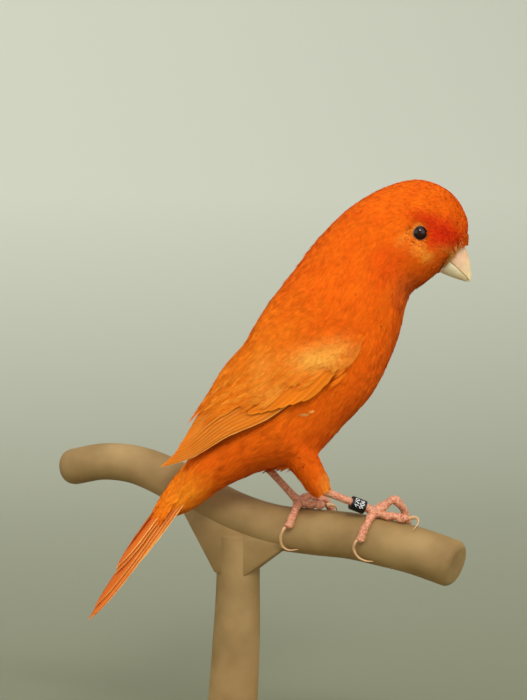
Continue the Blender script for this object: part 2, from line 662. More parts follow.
def joined(*coats):
    """Several coats of small feathers as one."""
    stacked = {key: np.vstack([c[key] for c in coats]) for key in ("tint", "normals")}
    maps = {key: np.vstack([c["maps"][key] for c in coats]) for key in ("OFBake", "Vane")}
    return {"shape": merged(*(c["shape"] for c in coats)), "maps": maps, **stacked}


# Length of the small feathers at each section of the body, from the tail coverts to the bill.
TUFT_LENGTHS = [7.5, 8, 8.5, 9, 9, 8.5, 8, 7, 6, 5, 4.2, 3.4, 2.7, 2.1, 1.7]


def tuft_length(place):
    """The length of a small feather at a place along the body."""
    return read(TUFT_LENGTHS, np.clip(place, 0, BILL_PLACE))


def eye_flow(u, v):
    """How the lie turns round each eye: the direction of a stream that parts round a disc of radius a, whether a
    place is outside the disc, and the room left for a feather there. In the plane of the skin, with r the way
    from the eye's middle, the stream is
    (1 - a squared (x squared - y squared) / r to the fourth, -2 a squared x y / r to the fourth)."""
    root = body_skin(u, v, np.zeros(len(u)))
    du, dv = slopes(lambda p, q: body_skin(p, q, 0), u, v)
    side = np.where(root[:, 1] > MIDLINE, 1, -1)
    eye = np.stack([np.full(len(u), EYE_X), MIDLINE + side * 9.0, np.full(len(u), EYE_Z)], -1)
    away = root - eye
    x, y = (away * unit(-du)).sum(-1), (away * unit(dv)).sum(-1)
    a2 = EYE_CLEARING**2
    r2 = np.maximum(x * x + y * y, a2)
    stream = np.stack([1 - a2 * (x * x - y * y) / r2**2, -2 * a2 * x * y / r2**2], -1)
    beyond = np.hypot(x, y) - EYE_CLEARING
    room = np.where(x < 0, 0.55 + 0.8 * np.maximum(beyond, 0), 0.9 + 1.2 * np.maximum(beyond, 0))
    return np.arctan2(stream[:, 1], np.maximum(stream[:, 0], 0.05)), beyond > 0, room


def under_wing(u, v):
    """Whether a place on the body lies well under a folded wing, where no feather shows."""
    root = body_skin(u, v, np.zeros(len(u)))
    x, z = root[:, 0], root[:, 2]
    places, margin = [-12, -4, 6, 16, 26, 32], 2.5
    low = np.interp(x, places, [84, 86, 91, 98, 106, 114]) + margin
    high = np.interp(x, places, [86, 101, 113, 121, 122, 116]) - margin
    return (x > -10) & (x < 30) & (z > low) & (z < high) & (np.abs(np.sin(v)) > 0.72)


def body_coat():
    """The places of all small feathers of the body, their lengths and the turn of their lie."""
    p = bpy.context.scene.canary_plumage
    u, v = scatter(body_skin, (0.0, -np.pi), (13.97, np.pi), p.body_tufts, lambda a, b: tuft_length(a) ** 1.5)
    turn, outside, room = eye_flow(u, v)
    brow, lip = np.maximum(0, np.cos(v)) ** 2, ease(0.7, 1, -np.cos(v))
    keep = outside & ~under_wing(u, v) & (u < FACE_END + 0.45 * brow + 0.1 * lip)
    chin = ease(11.5, 13, u) * ease(0.3, 0.9, -np.cos(v))
    length = np.minimum(tuft_length(u) * (1 - 0.55 * chin), room)
    return u[keep], v[keep], length[keep], turn[keep]


# Materials


def fill_socket(tree, socket, value):
    """Links a socket where the value is one, and otherwise sets it."""
    if isinstance(value, bpy.types.NodeSocket):
        tree.links.new(value, socket)
    else:
        socket.default_value = value


def node(tree, kind, **inputs):
    """A shader node, with its sockets filled by name, or by number after an underscore."""
    settings = inputs.pop("settings", {})
    made = tree.nodes.new(kind)
    for name, value in settings.items():
        setattr(made, name, value)
    for name, value in inputs.items():
        fill_socket(tree, made.inputs[int(name[1:]) if name[0] == "_" else name.replace("_", " ")], value)
    return made


def math_node(tree, operation, first, second=0.0):
    """The result of one sum, product or function."""
    return node(tree, "ShaderNodeMath", settings={"operation": operation}, _0=first, _1=second).outputs[0]


def object_place(tree):
    """Object coordinates."""
    return node(tree, "ShaderNodeTexCoord").outputs["Object"]


def new_group(name, inputs, outputs):
    """An empty shader group with named numbers as inputs, given with their defaults, and named outputs."""
    group = bpy.data.node_groups.new(name, "ShaderNodeTree")
    for socket_name, default in inputs.items():
        socket = group.interface.new_socket(socket_name, in_out="INPUT", socket_type="NodeSocketFloat")
        socket.default_value = default
    for socket_name, kind in outputs.items():
        group.interface.new_socket(socket_name, in_out="OUTPUT", socket_type=kind)
    return group, group.nodes.new("NodeGroupInput"), group.nodes.new("NodeGroupOutput")


def barb_group():
    """Barbs of a vane: fine ridges that leave the shaft at a slant. The ridges are the sine of the share along
    less the distance from the shaft times the slant, on the piece's Vane map, with a fine noise."""
    group = bpy.data.node_groups.get("Barbs")
    if group:
        return group
    group, given, result = new_group(
        "Barbs",
        {"Lines": 40.0, "Slant": 0.5, "Relief": 0.3},
        {"Ridge": "NodeSocketFloat", "Normal": "NodeSocketVector"},
    )
    vane = node(group, "ShaderNodeUVMap", settings={"uv_map": "Vane"}).outputs[0]
    parts = node(group, "ShaderNodeSeparateXYZ", Vector=vane)
    aside = math_node(group, "ABSOLUTE", math_node(group, "SUBTRACT", parts.outputs[0], 0.5))
    back = math_node(group, "MULTIPLY", aside, given.outputs["Slant"])
    slanted = math_node(group, "SUBTRACT", parts.outputs[1], back)
    wave = math_node(group, "SINE", math_node(group, "MULTIPLY", slanted, given.outputs["Lines"]))
    rough = node(group, "ShaderNodeTexNoise", Vector=object_place(group), Scale=2600.0, Detail=2.0)
    ridge = math_node(group, "ADD", math_node(group, "MULTIPLY", wave, 0.35), rough.outputs[0])
    bump = node(group, "ShaderNodeBump", Height=ridge, Strength=given.outputs["Relief"], Distance=0.0002)
    group.links.new(ridge, result.inputs["Ridge"])
    group.links.new(bump.outputs[0], result.inputs["Normal"])
    return group


def mottle_group():
    """Soft uneven patches on Object coordinates: noise, spread to the range from 0 to 1, with a relief."""
    group = bpy.data.node_groups.get("Mottle")
    if group:
        return group
    group, given, result = new_group(
        "Mottle",
        {"Scale": 100.0, "Detail": 3.0, "Relief": 0.2},
        {"Mask": "NodeSocketFloat", "Normal": "NodeSocketVector"},
    )
    scale, detail, relief = (given.outputs[key] for key in ("Scale", "Detail", "Relief"))
    noise = node(group, "ShaderNodeTexNoise", Vector=object_place(group), Scale=scale, Detail=detail).outputs[0]
    spread = node(group, "ShaderNodeMapRange", Value=noise, From_Min=0.3, From_Max=0.7)
    bump = node(group, "ShaderNodeBump", Height=noise, Strength=relief, Distance=0.0003)
    group.links.new(spread.outputs[0], result.inputs["Mask"])
    group.links.new(bump.outputs[0], result.inputs["Normal"])
    return group


def place_group(tree, group, **inputs):
    """A group placed in a material, with its own values."""
    made = tree.nodes.new("ShaderNodeGroup")
    made.node_tree = group
    for name, value in inputs.items():
        made.inputs[name].default_value = value
    return made


def mix_colours(tree, share, first, second):
    """A colour between two, each a socket or three numbers, by a share."""
    ends = [c if isinstance(c, bpy.types.NodeSocket) else (*c, 1) for c in (first, second)]
    settings = {"data_type": "RGBA"}
    return node(tree, "ShaderNodeMix", settings=settings, _0=share, _6=ends[0], _7=ends[1]).outputs[2]


def finish(tree, principled, base, normal):
    """Links what a material's Base Color and Normal read."""
    tree.links.new(base, principled.inputs["Base Color"])
    tree.links.new(normal, principled.inputs["Normal"])


def scaled_tint(tree, value):
    """The points' own tint times a value."""
    tint = node(tree, "ShaderNodeAttribute", settings={"attribute_name": "tint"}).outputs["Color"]
    settings = {"operation": "SCALE"}
    return node(tree, "ShaderNodeVectorMath", settings=settings, _0=tint, Scale=value.outputs[0]).outputs[0]


def new_material(name, **shader):
    """A material, its tree and its Principled shader, whose plain sockets are set here. A material that is there
    already comes without the other two."""
    material = bpy.data.materials.get(name)
    if material:
        return material, None, None
    material = bpy.data.materials.new(name)
    material.use_nodes = True
    tree = material.node_tree
    principled = tree.nodes["Principled BSDF"]
    for socket, value in shader.items():
        principled.inputs[socket.replace("_", " ")].default_value = value
    return material, tree, principled


def feather_material(name, roughness, sheen, lines, slant, relief, contrast):
    """Plumage: the points' own tint, darker between the barbs and in soft uneven patches."""
    material, tree, principled = new_material(
        name, Roughness=roughness, Sheen_Weight=sheen, Sheen_Roughness=0.5, Sheen_Tint=(1.0, 0.5, 0.15, 1),
        Specular_IOR_Level=0.08,
    )
    if tree is None:
        return material
    barbs = place_group(tree, barb_group(), Lines=lines, Slant=slant, Relief=relief)
    mottle = place_group(tree, mottle_group(), Scale=260.0, Detail=4.0, Relief=0.0)
    ridge = math_node(tree, "MULTIPLY", barbs.outputs["Ridge"], 0.6)
    both = math_node(tree, "ADD", ridge, math_node(tree, "MULTIPLY", mottle.outputs["Mask"], 0.4))
    value = node(tree, "ShaderNodeMapRange", Value=both, To_Min=1.0 - contrast, To_Max=1.0 + contrast * 0.6)
    finish(tree, principled, scaled_tint(tree, value), barbs.outputs["Normal"])
    return material


def coat_material():
    """Soft small feathers."""
    return feather_material("small_feathers", 0.85, 0.05, 24.0, 0.9, 0.2, 0.12)


def vane_material():
    """Smoother webs of flight feathers, with finer barbs."""
    return feather_material("vane_webs", 0.6, 0.03, 260.0, 0.45, 0.25, 0.12)


def grained_material(name, first, second, scale, relief, **shader):
    """A material that runs between two colours in uneven patches, with a slight relief."""
    material, tree, principled = new_material(name, **shader)
    if tree is None:
        return material
    mottle = place_group(tree, mottle_group(), Scale=scale, Detail=4.0, Relief=relief)
    base = mix_colours(tree, mottle.outputs["Mask"], first, second)
    finish(tree, principled, base, mottle.outputs["Normal"])
    return material


# Operators


class CANARY_OT_skin(bpy.types.Operator):
    """Builds the one skin under the small feathers, from the tail coverts to the bill, with both thighs"""

    bl_idname = "canary.skin"
    bl_label = "Skin"

    def execute(self, context):
        depth = context.scene.canary_plumage.coat_depth / MM
        around = np.linspace(-np.pi, np.pi, 96, endpoint=False)
        place, angle = np.meshgrid(np.linspace(0.05, FACE_END, 160), around, indexing="ij")
        body = loft(body_skin(place, angle, np.full(place.shape, -depth)))
        shape = merged(body, *(loft(self.lobe(leg, depth)) for leg in LEGS.values()))
        add_piece(
            "bird_skin", shape, coat_material(), "plumage", ("head", "neck", "torso", "thigh_left", "thigh_right"),
            tint=plumage_colour(shape[0]) * 0.8, maps={"Vane": np.zeros((len(shape[0]), 2))},
        )
        return {"FINISHED"}

    def lobe(self, leg, depth):
        """A thigh: a tube from knee to heel, whose upper end is drawn in inside the body."""
        knee, heel = thigh_ends(leg)
        t = np.linspace(0, 1, 24)
        radii = (read(leg["thigh"], np.linspace(0, 3, 24)) - depth) * mix(0.3, 1.0, ease(-0.1, 0.3, t))
        return tube(mix(knee, heel, t[:, None]), radii[:, None] * np.ones(32))


def spokes(angle, first, second):
    """Directions round a place: cos * first + sin * second."""
    return np.cos(angle)[..., None] * first + np.sin(angle)[..., None] * second


def tube(path, radii, up=(0.0, 0.0, 1.0)):
    """Rings round a path: centre + radius (cos * across + sin * up), where up is the given direction made square
    to the path. radii has one row for each ring and one number for each point of it."""
    ahead = unit(np.gradient(path, axis=0))
    up = np.broadcast_to(up, path.shape)
    up = unit(up - (up * ahead).sum(-1, keepdims=True) * ahead)
    across = np.cross(ahead, up)
    spoke = spokes(full_turn(radii.shape[1])[None], across[:, None], up[:, None])
    return path[:, None] + radii[..., None] * spoke


class CANARY_OT_coat(bpy.types.Operator):
    """Builds the small feathers of head, neck, body and thighs"""

    bl_idname = "canary.coat"
    bl_label = "Small feathers"
    parts = ("rump", "belly", "breast", "neck", "nape", "crown", "face")
    cuts = (0, 3.6, 5.6, 7.6, 9.6, 11.2, 12.8, 14)

    def execute(self, context):
        depth = context.scene.canary_plumage.coat_depth / MM
        u, v, length, turn = body_coat()
        coats = {}
        for seed, (name, low, high) in enumerate(zip(self.parts, self.cuts, self.cuts[1:])):
            part = (u >= low) & (u < high)
            fingers, rows = (3, 2) if low > 9 else (4, 3)
            coats[f"coat_{name}"] = tufts(
                body_skin, u[part], v[part], lie=-1, length=length[part], turn=turn[part], seed=seed,
                width=np.maximum(length[part] * 0.24, 0.6), rise=(-0.65 * depth, 0.0), fingers=fingers, rows=rows,
            )
        coats["bill_bristles"] = self.fringe()
        coats["loose_wisps"] = self.wisps()
        for name, leg in LEGS.items():
            coats[f"coat_thigh_{name}"] = self.thigh(leg)
        for name, coat in coats.items():
            add_piece(name, slot="plumage", material=coat_material(), **coat)
        return {"FINISHED"}

    def fringe(self):
        """Short bristles that lie forward over the bill's root, on a collar that runs from the face's rim to an
        ellipse round the bill. They are dense on the forehead and sparse at the sides, where paler ones join."""
        axis, upward, root = bill_frame()

        def rim(u, v):
            """The collar's surface: from the face's section at u = 0 straight to the ellipse at u = 1."""
            face = section(BODY_ROWS, FACE_END + 0.4 * np.cos(v), np.asarray(v, float))
            up, side = -0.6 + 5.1 * np.cos(v), 4.1 * np.sin(v)
            horn = root + axis * (0.4 + 0.5 * np.cos(v))[..., None]
            horn = horn + up[..., None] * upward + side[..., None] * LEFT
            return mix(face, horn, u[..., None])

        collar = lambda u, v, height: raised(rim, u, v, height)
        like = {"lie": 1, "width": 0.4, "fingers": 3, "rows": 2}
        rng = np.random.default_rng(21)
        count = 1500
        v = rng.normal(0, 0.75, count)
        u = rng.uniform(-0.6, 0.3, count) - 0.12 * np.abs(v)
        bristles = tufts(
            collar, u, v, length=rng.uniform(0.9, 1.7, count) / (1 + 0.25 * np.abs(v)),
            rise=(-0.3, rng.uniform(0.0, 0.5, count)), turn=rng.normal(0, 0.25, count), seed=22, **like,
        )
        count = 280
        v = rng.choice([-1, 1], count) * rng.normal(1.9, 0.32, count)
        gape = tufts(
            collar, rng.uniform(-0.7, 0.2, count), v, length=rng.uniform(1.2, 2.4, count),
            rise=(-0.3, rng.uniform(0.1, 0.5, count)), turn=rng.normal(0, 0.25, count), seed=24,
            shade=paler("rim", 0.55), **like,
        )
        return joined(bristles, gape)

    def wisps(self):
        """Loose feathers that hang from the vent between the legs, and three pale ones on the flank."""
        rng = np.random.default_rng(25)
        count = 60
        u = np.append(rng.uniform(3.3, 4.3, count), [4.8, 4.85, 4.95])
        v = np.append(rng.uniform(2.75, 2 * np.pi - 2.75, count), np.radians([-114, -115.5, -117]))
        length = np.append(rng.uniform(3.0, 5.5, count), [3.6, 4.2, 3.4])
        high = np.append(rng.uniform(0.3, 1.6, count), [0.35, 0.45, 0.4])
        pale = np.append(np.zeros(count), [0.55, 0.5, 0.6])[:, None]
        turn = np.append(rng.normal(0, 0.25, count), [0.85, 0.8, 0.9])
        return tufts(
            body_skin, u, v, lie=-1, length=length, width=0.8, rise=(-0.4, high), turn=turn, fingers=3, rows=3,
            seed=26, shade=paler("rim", pale),
        )

    def thigh(self, leg):
        """Feathers that clothe a thigh down to the heel."""
        knee, heel = thigh_ends(leg)
        ahead = unit(heel - knee)
        side = unit(np.cross(ahead, [0, 1, 0]))
        third = np.cross(ahead, side)
        reach = np.linalg.norm(heel - knee)

        def skin(u, v, height):
            """A tube round the way from knee to heel, whose radius follows the thigh's rows, drawn in at the heel
            and inside the body."""
            u, v, height = np.broadcast_arrays(u, v, height)
            radius = read(leg["thigh"], np.clip(u, -0.5, 1.1) * 3)
            radius = radius * np.sqrt(np.clip(1 - ease(0.88, 1.28, u), 0.1, 1))
            radius = radius * (1 - 0.6 * ease(0.05, -0.5, u)) + height
            return knee + ahead * (u * reach)[..., None] + spokes(v, side, third) * radius[..., None]

        u, v = scatter(skin, (-0.25, -np.pi), (0.98, np.pi), 1400)
        return tufts(
            skin, u, v, lie=1, length=mix(5.0, 2.2, np.clip(u, 0, 1)), width=1.2, rise=(-0.7, 0.05), seed=23,
            unwrap=(0.5, 1 / (2 * np.pi)),
        )


def family(count, **parts):
    """A row of like vanes. Each part is a list of numbers, or of pairs of its first and last value."""
    t = np.linspace(0, 1, count)
    spread = lambda end: mix(*end, t) if np.ndim(end) else np.full(count, float(end))
    return {key: np.stack([spread(end) for end in ends], -1) for key, ends in parts.items()}


def vane_profile(t, tip, point):
    """The share of a vane's width: it swells from the quill to its middle and closes at the tip on an ellipse
    raised to a power, which points it."""
    swell = mix(0.45, 1.0, np.sin(np.pi / 2 * np.clip(t / 0.5, 0, 1)))
    close = np.clip(1 - np.clip((t - tip) / (1 - tip), 0, 1) ** 2, 0, 1) ** point
    return swell * np.maximum(close, 0.04)


# Places across a vane, its shaft among them, as shares of half its width.
ACROSS = np.array([-1, -0.93, -0.85, -0.75, -0.5, -0.32, -0.25, -0.18, 0.1, 0.5, 0.86, 1])
SHAFT = -0.25


def vanes(skin, feathers, *, tip, point, thickness, camber, web, rim, seed, side=1, edge=0.2):
    """Flight feathers and coverts. A centre line runs from root to tip in the skin's own parameters, bowed by
    bow * sin(pi t). Across it lies a thin shell, raised at the shaft, cambered by x squared and rolled about the
    line by the tilt, whose rim is pale on its lower, outer side. Edge is how wide the pale rim is, and each
    feather's pale says how strong. Side is 1 for the bird's left and -1 for its right."""
    rng = np.random.default_rng(seed)
    t = 1 - (1 - np.linspace(0, 1, 27)) ** 1.35
    gathered = {key: np.concatenate([f[key] for f in feathers])[:, None] for key in feathers[0]}
    root, end, lift = (gathered[key] for key in ("root", "tip", "lift"))
    width, tilt, bow, strength = (gathered[key][..., 0] for key in ("width", "tilt", "bow", "pale"))

    def centre(t, extra=0.0):
        """Each feather's centre line, at its lift and an extra height."""
        u, v = mix(root[..., 0], end[..., 0], t), mix(root[..., 1], end[..., 1], t) + bow * np.sin(np.pi * t)
        return skin(u, v, mix(lift[..., 0], lift[..., 1], t) + extra)

    line = centre(t)
    ahead = unit(centre(t + 0.01) - centre(t - 0.01))
    out = unit(centre(t, 1.0) - line)
    roll = np.radians(tilt)[..., None]
    out = out * np.cos(roll) + np.cross(ahead, out) * np.sin(roll)
    across = unit(np.cross(out, ahead)) * side
    out = np.cross(ahead, across) * side
    share = vane_profile(t, tip, point)
    x = np.concatenate([ACROSS, ACROSS[-2:0:-3]])
    top = np.arange(len(x)) < len(ACROSS)
    shaft = 0.1 * np.exp(-(((ACROSS - SHAFT) / 0.06) ** 2))
    level = np.where(top, thickness / 2, -thickness / 2)
    level[: len(ACROSS)] += shaft
    level = level - camber * x**2
    frayed = 1 + 0.03 * rng.normal(size=(len(root), len(t), 1)) * (np.abs(x) > 0.95)
    span = width[..., None] / 2 * share[:, None] * x * frayed
    thin = np.clip((1.02 - t) / 0.2, 0.3, 1)[:, None]
    wide, tall = across[:, :, None] * span[..., None], out[:, :, None] * (level * thin)[None, ..., None]
    shape = lofts(line[:, :, None] + wide + tall)
    pale = np.maximum(ease(1 - edge, 1 - 0.3 * edge, -x), 0.5 * ease(0.95, 1.0, t)[:, None])
    dark = 0.12 * np.exp(-(((x - SHAFT) / 0.1) ** 2)) + 0.2 * ease(0.0, 0.8, x)
    tone = mix(np.array(web), np.array(rim), (pale * strength[..., None])[..., None]) * (1 - dark)[..., None]
    tone = tone * rng.normal(1, 0.04, (len(root), 1, 1, 1))
    tone = np.concatenate([tone.reshape(len(root), -1, 3), tone[:, [0, -1]].mean(2)], 1)
    faced = unit(out[:, :, None] + 0.3 * across[:, :, None] * x[:, None]) * np.where(top, 1, -1)[:, None]
    faced = np.concatenate([faced.reshape(len(root), -1, 3), -ahead[:, :1], ahead[:, -1:]], 1)
    flat_x = np.concatenate([np.tile(x, len(t)), [0, 0]]) / 2 + 0.5
    flat_t = np.concatenate([np.repeat(t, len(x)), [0, 1]])
    vane = np.tile(np.stack([flat_x, flat_t], -1), (len(root), 1))
    island = np.repeat(np.arange(len(root)), len(flat_x))
    bake = np.stack([(island + 0.1 + 0.8 * vane[:, 0]) / len(root), 0.02 + 0.96 * vane[:, 1]], -1)
    return coat_of(shape, flat(tone), flat(faced), bake, vane)


class CANARY_OT_wings(bpy.types.Operator):
    """Builds both folded wings: flight feathers, coverts and the soft feathers of the arm"""

    bl_idname = "canary.wings"
    bl_label = "Wings"
    # Pale patches of the shoulder: x, z, reach along x and z, strength.
    patches = ((23, 114, 6.5, 3.2, 1.0), (28, 116.5, 4, 3, 0.5), (13, 105, 6, 3.5, 0.35), (9, 113, 3, 4, 0.3))

    def execute(self, context):
        p = context.scene.canary_plumage
        flight = [
            family(
                8, root=[(3.0, 2.5), (68, 100)], tip=[(6.2, 7.05), (40, 66)], lift=[(0.9, 0.5), (1.3, 0.5)],
                width=[(4.4, 3.0)], tilt=[-9], bow=[(-8, -11)], pale=[0.4],
            ),
            family(
                5, root=[(3.0, 2.8), (66, 52)], tip=[(6.1, 5.6), (36, 29)], lift=[1.1, (1.35, 1.5)],
                width=[4.8], tilt=[-8], bow=[(-5, -4)], pale=[0.4],
            ),
            family(
                3, root=[(2.7, 2.4), (56, 50)], tip=[(5.4, 4.8), (27, 15)], lift=[1.1, 1.6],
                width=[6.0], tilt=[-7], bow=[-2], pale=[0.4],
            ),
        ]
        flight[0]["tip"][:, 0] = mix(6.2, 7.05, np.minimum(1, np.linspace(0, 1, 8) * 1.25))
        flight[0]["pale"][-1] = 1.0
        coverts = [
            family(
                6, root=[(2.5, 1.8), (86, 102)], tip=[(4.1, 3.1), (70, 97)], lift=[0.9, (1.5, 1.2)],
                width=[3.4], tilt=[-6], bow=[0], pale=[0.35],
            ),
        ]
        # The far wing lies a little lower, so its edge doesn't show over the near one's.
        for name, side, turn, lower in (("left", 1, lambda q: q, 1.0), ("right", -1, mirrored, 0.0)):
            skin = lambda u, v, h, turn=turn, lower=lower: turn(wing_skin(u, v + 4 * lower, h - lower))
            tilted = lambda rows: [{**f, "tilt": f["tilt"] * side} for f in rows]
            quills = vanes(
                skin, tilted(flight), tip=0.55, point=0.85, thickness=0.1, camber=0.2, edge=0.12, web=p.web,
                rim=p.rim, seed=31, side=side,
            )
            soft = vanes(
                skin, tilted(coverts), tip=0.6, point=0.5, thickness=0.1, camber=0.25, edge=0.5, web=p.covert,
                rim=p.covert_rim, seed=32, side=side,
            )
            add_piece(
                f"wing_quills_{name}", material=vane_material(), slot="flight_feathers",
                replaces=(f"wing_{name}",), **joined(quills, soft),
            )
            down = self.arm(skin, 4 + 24 * lower)
            add_piece(f"wing_down_{name}", material=coat_material(), slot="flight_feathers", **down)
        return {"FINISHED"}

    def arm(self, skin, ridge):
        """The soft feathers of the arm and shoulder, which lie over the coverts and end in a slanting line. They
        begin ridge degrees from the back's midline and lie on a pad, the skin raised by the lower of two heights,
        one read along the wing and one across it."""

        def pad(u, v, height):
            """The wing's skin, raised by the lower of the heights across and along it."""
            u, v, height = np.broadcast_arrays(u, v, height)
            front = np.interp(v, [0, 14, 35, 100, 110, 120], [-2.2, -1.2, 1.8, 1.9, 0.8, -1.0])
            back = np.interp(v, [0, 6, 16, 35, 100, 110, 120], [-1.0, 0.2, 1.9, 2.1, 1.9, 0.8, -1.0])
            across = mix(front, back, ease(2.4, 3.8, u))
            onward = np.interp(u, [0.8, 1.4, 2.1, 3.0, 4.4, 6.0], [-2.2, -0.3, 1.6, 2.3, 2.1, 1.9])
            return skin(u, v, np.minimum(across, onward) + height)

        first, last = 0.9, 4.9
        u, v = scatter(pad, (first, ridge), (last, 114), 3400)
        end = np.interp(v, [4, 20, 35, 50, 65, 80, 90, 100, 114], [4.7, 5.0, 5.1, 4.8, 4.3, 3.6, 3.1, 2.5, 2.2])
        end = end + 0.25 * np.random.default_rng(34).normal(size=len(u))
        length = mix(5.0, 11.0, (u - first) / 4.0)
        keep = u + length / 10 < end
        u, v, length = u[keep], v[keep], length[keep]
        return tufts(
            pad, u, v, lie=1, length=length, width=1.7, rise=(-0.6, 0.05), fingers=6, seed=33, loose=0.04,
            turn=np.interp(v, [20, 60, 110], [-0.05, -0.2, -0.34]), unwrap=(1 / 8, 1 / 180), shade=self.arm_colour,
        )

    def arm_colour(self, points):
        """The body's colours, with soft streaks along the coverts and the pale patch of the shoulder over them."""
        p = bpy.context.scene.canary_plumage
        tint = plumage_colour(points)
        lie, aside = lie_places(points)
        streak = 0.5 + 0.5 * np.sin(2.3 * aside + 1.3 * np.sin(0.3 * lie))
        lower = ease(118, 106, points[..., 2])
        tint = mix(tint, np.array(p.covert), (0.6 * lower)[..., None])
        tint = mix(tint, np.array(p.covert_rim), (0.7 * lower * streak**2)[..., None])
        for x, z, reach_x, reach_z, strength in self.patches:
            away = ((points[..., 0] - x) / reach_x) ** 2 + ((points[..., 2] - z) / reach_z) ** 2
            tint = mix(tint, np.array(p.shoulder), (strength * np.exp(-away))[..., None])
        return tint


class CANARY_OT_tail(bpy.types.Operator):
    """Builds the twelve tail feathers and their coverts"""

    bl_idname = "canary.tail"
    bl_label = "Tail"

    def execute(self, context):
        p = context.scene.canary_plumage
        halves, coverts = [], []
        for side, turn, seed in ((1, lambda q: q, 42), (-1, mirrored, 43)):
            skin = lambda u, v, h, turn=turn: turn(tail_skin(u, v, h))
            row = family(
                6, root=[-0.5, (1.2, 5.6)], tip=[(31, 45), (1.0, 3.9)], lift=[(-0.6, -1.2), (0.7, -0.3)],
                width=[3.7], tilt=[-12 * side], bow=[0], pale=[0.5],
            )
            row["tip"][:, 0] = TAIL_LENGTHS
            row["pale"][[0, 5]] = 1.0
            row["lift"] = row["lift"] - 0.12 * side
            halves.append(vanes(
                skin, [row], tip=0.62, point=0.8, thickness=0.12, camber=0.2, web=p.tail_web, rim=p.rim, seed=41,
                side=side,
            ))
            over = lambda u, v, h, turn=turn: turn(tail_skin(u, v, 0.9 * ease(18, 7, u) + h))
            u, v = scatter(over, (-5.0, -0.5), (8.0, 4.0), 300)
            coverts.append(tufts(
                over, u, v, lie=1, length=7.0, width=1.7, rise=(-0.6, 0.05), seed=seed, unwrap=(1 / 50, 1 / 14),
                streak=0.09,
            ))
        add_piece(
            "tail_feathers", material=vane_material(), slot="flight_feathers", replaces=("tail",), **joined(*halves)
        )
        add_piece("tail_coverts", slot="plumage", material=coat_material(), **joined(*coverts))
        return {"FINISHED"}


class CANARY_OT_eyes(bpy.types.Operator):
    """Builds the two eyes and their lids"""

    bl_idname = "canary.eyes"
    bl_label = "Eyes"

    def execute(self, context):
        c = context.scene.canary_bare
        gloss = new_material("wet_eye", Roughness=0.05, Specular_IOR_Level=0.3, Base_Color=(*c.eye, 1))[0]
        bare = grained_material("lid_skin", c.lid, tuple(np.array(c.lid) * 0.6), 900.0, 0.3, Roughness=0.6)
        for side, name in ((1, "left"), (-1, "right")):
            low, high = (np.array(corner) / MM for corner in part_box(f"eye_{name}"))
            centre = (low + high) / 2
            axis = EYE_AXIS * [1, side, 1]
            polar = np.linspace(0.02, np.pi - 0.02, 40)[:, None]
            ball = tube(centre + axis * EYE_RADIUS * np.cos(polar), EYE_RADIUS * np.sin(polar) * np.ones(48))
            add_piece(f"eyeball_{name}", loft(ball), gloss, "eye", (f"eye_{name}",))
            add_piece(f"eyelid_{name}", self.lid(centre, axis), bare, "leg_skin")
            add_piece(f"eye_ring_{name}", slot="plumage", material=coat_material(), **self.ring(centre, axis, side))
        return {"FINISHED"}

    def ring(self, centre, axis, side):
        """Tiny feathers that stand round the lids like rays, on a shallow cone from the lid outwards."""
        across = unit(np.cross(axis, [0, 0, 1])) * side
        up = np.cross(across, axis) * side

        def cone(u, v, height):
            """A ring that widens by 1.2 u and falls by 0.35 u, u from the lid outwards and v round the eye."""
            u, v, height = np.broadcast_arrays(u, v, height)
            out = spokes(v, across, up)
            return centre + out * (1.85 + 1.2 * u)[..., None] + axis * (1.25 - 0.35 * u + height)[..., None]

        rng = np.random.default_rng(51)
        count = 260
        u = rng.uniform(-0.05, 0.5, count)
        length, high = rng.uniform(0.6, 1.0, count), rng.uniform(0.0, 0.15, count)
        return tufts(
            cone, u, full_turn(count), lie=1, length=length, width=0.3, rise=(-0.1, high), fingers=2, rows=2,
            turn=rng.normal(0.5, 0.2, count), seed=52, unwrap=(1 / 4, 1 / (2 * np.pi)), shade=paler("lore", 0.45),
        )

    def lid(self, centre, axis):
        """A soft rim round the opening: a ring whose tube swells and shrinks as beads of skin do, by the cosine of
        24 turns, and whose radius is drawn out in front and behind by the cosine of 2."""
        across = unit(np.cross(axis, [0, 0, 1]))
        up = np.cross(across, axis)
        turn, spin = np.meshgrid(full_turn(96), full_turn(12), indexing="ij")
        bead = LID_BEAD * (1 + 0.2 * np.cos(24 * turn))
        out = LID_RADIUS + 0.06 * np.cos(2 * turn) + bead * np.cos(spin)
        rise = LID_RISE + bead * np.sin(spin) * 0.8
        points = centre + across * (out * np.cos(turn))[..., None] + up * (out * np.sin(turn))[..., None]
        return closed_ring(points + axis * rise[..., None])


